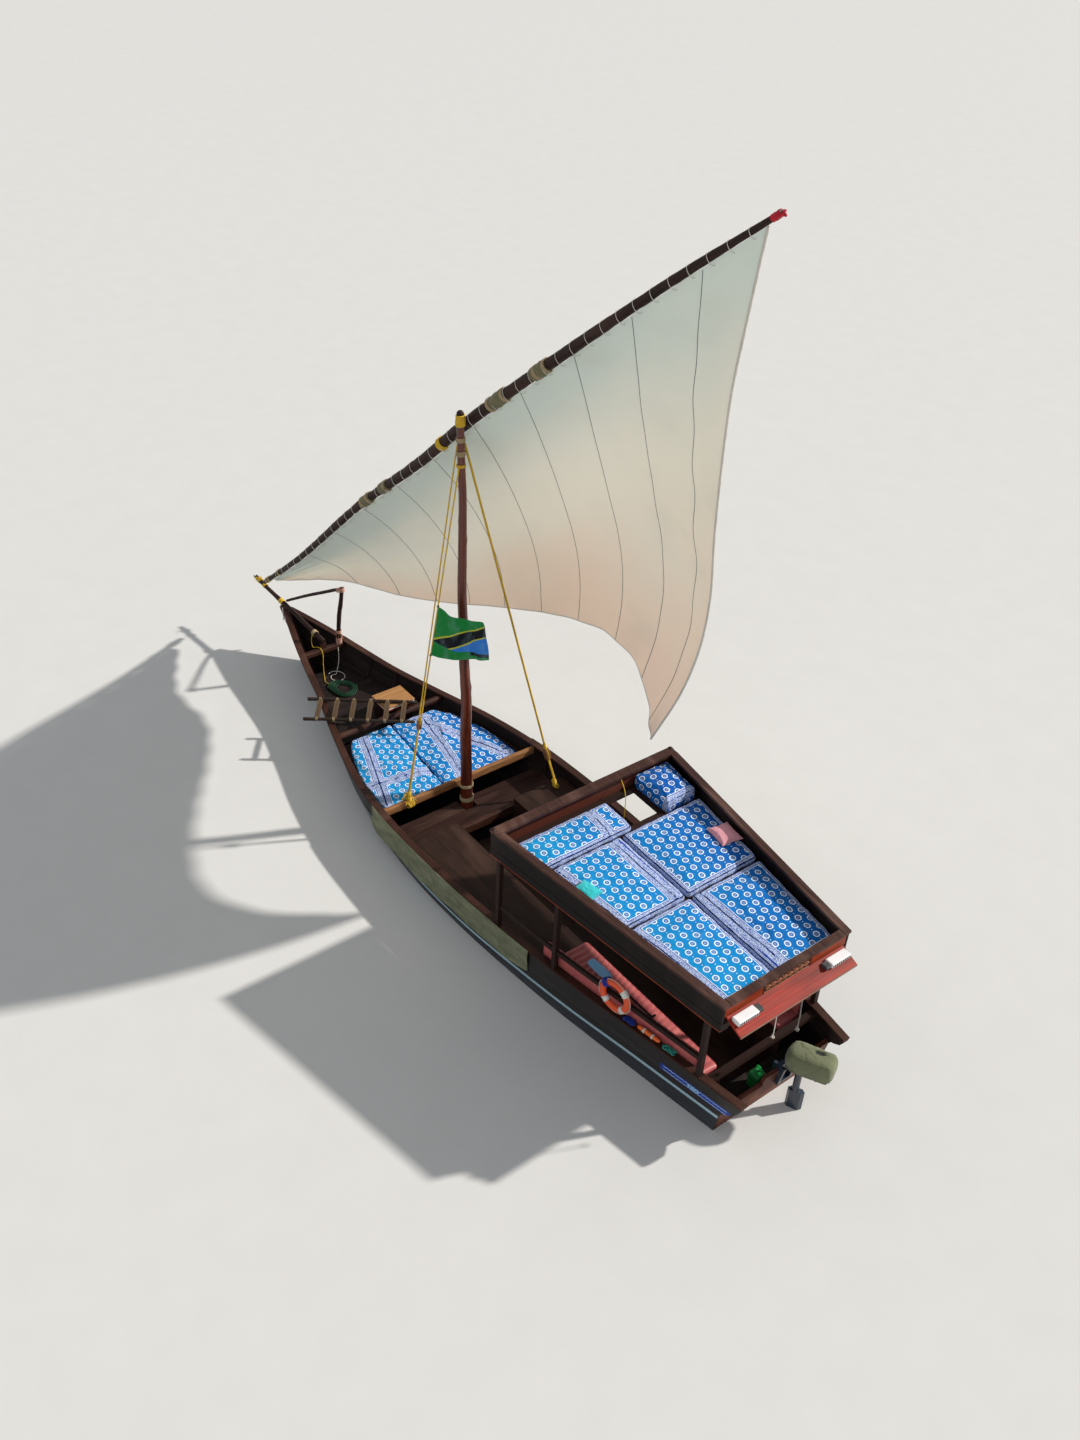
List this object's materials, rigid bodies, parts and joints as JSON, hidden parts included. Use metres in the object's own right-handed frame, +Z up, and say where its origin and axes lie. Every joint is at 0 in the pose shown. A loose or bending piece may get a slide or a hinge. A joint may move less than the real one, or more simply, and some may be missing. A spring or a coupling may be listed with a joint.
{
  "type": "sailing dhow",
  "caption": "Wooden lateen-rigged dhow afloat: open hull with keel, raked mast, long yard with sail, raised sun roof with mattresses and an outboard motor on the transom.",
  "frame": {"origin": "on the centreplane at the waterline, amidships", "axes": "+X forward to the bow, +Y to port, +Z up from the water"},
  "size_m": [14.9045, 3.3, 11.6469],
  "materials": {
    "dark_planking": "oiled and tarred hardwood planking, near black, satin, with seams",
    "brown_wood": "oiled brown hardwood, satin, worn",
    "red_wood": "varnished red-brown hardwood, semi-gloss",
    "tan_wood": "bare sawn timber, matt, weathered",
    "pole_wood": "round mangrove poles, oiled dark brown, satin",
    "rope": "yellow twisted polypropylene and tan natural rope, matt",
    "canvas": "cream cotton sailcloth with sewn seams, matt, translucent",
    "blue_print": "printed cotton covers, rings on blue with white borders, matt",
    "pink_vinyl": "salmon pink vinyl upholstery, satin",
    "turquoise_cloth": "turquoise cotton, matt",
    "pink_cloth": "pale pink cotton, matt",
    "flag_cloth": "thin polyester, green, black, blue and yellow bands",
    "orange_plastic": "orange-red life ring, slightly faded, white bands",
    "green_plastic": "green moulded fuel can",
    "green_rope": "green braided rope, matt",
    "motor_paint": "dark navy baked paint, semi-gloss, salt stained",
    "motor_cover": "olive-beige cloth cover over the hood, matt",
    "cast_block": "cast engine block, matt"
  },
  "bodies": {
    "hull": {"hull_port": "dark_planking", "hull_starboard": "dark_planking", "gunwale_port": "brown_wood", "gunwale_port_mid": "brown_wood", "gunwale_port_fore": "brown_wood", "gunwale_starboard": "brown_wood", "keel": "dark_planking", "stem": "brown_wood", "transom": "red_wood", "sole": "brown_wood", "mid_deck": "brown_wood", "bow_deck": "brown_wood", "foredeck": "dark_planking", "aft_deck": "dark_planking", "main_thwart": "tan_wood", "bow_thwart": "red_wood", "stern_beam": "pole_wood", "bench_port": "brown_wood", "bench_starboard": "brown_wood", "bow_locker": "tan_wood", "mast": "red_wood", "bow_spar": "pole_wood", "stay_port": "rope", "stay_starboard": "rope", "gallows": "pole_wood", "ladder": "tan_wood", "roof_rim": "red_wood", "fascia_port": "dark_planking", "fascia_starboard": "dark_planking", "fascia_front": "red_wood", "fascia_aft": "red_wood", "roof_floor": "brown_wood", "side_frame_port": "pole_wood", "side_frame_starboard": "pole_wood", "stern_shelf": "red_wood", "mattress_roof_1": "blue_print", "mattress_roof_2": "blue_print", "mattress_roof_3": "blue_print", "mattress_roof_4": "blue_print", "mattress_roof_5": "blue_print", "bolster": "blue_print", "pillow_turquoise": "turquoise_cloth", "pillow_pink": "pink_cloth", "mattress_bow_port": "blue_print", "mattress_bow_starboard": "blue_print", "cushions_port": "pink_vinyl", "cushions_starboard": "pink_vinyl", "life_ring": "orange_plastic", "fuel_can": "green_plastic", "rope_coil": "green_rope", "flag": "flag_cloth", "motor_clamp": "motor_paint"},
    "yard": {"yard": "pole_wood", "sail": "canvas", "parrel": "rope"},
    "motor_swivel": {"motor_swivel": "motor_paint"},
    "motor_leg": {"motor_leg": "motor_paint", "motor_engine": "cast_block", "motor_hood": "motor_cover"},
    "propeller": {"propeller": "motor_paint"}
  },
  "joints": [
    {"name": "yard_swing", "type": "hinge", "parent": "hull", "child": "yard", "pos_m": [0.892, 0, 6.74], "axis": [0.0444, 0, 0.999], "range_deg": [0, 35]},
    {"name": "motor_tilt", "type": "hinge", "parent": "hull", "child": "motor_swivel", "pos_m": [-6.44, -0.125, 0.7], "axis": [0, 1, 0], "range_deg": [0, 60]},
    {"name": "motor_steer", "type": "hinge", "parent": "motor_swivel", "child": "motor_leg", "pos_m": [-6.65, -0.125, 0.55], "axis": [0, 0, 1], "range_deg": [-62, 9]},
    {"name": "propeller_spin", "type": "hinge", "parent": "motor_leg", "child": "propeller", "pos_m": [-6.80681, -0.20269, -0.3], "axis": [0.8961, 0.444, 0], "continuous": true}
  ]
}
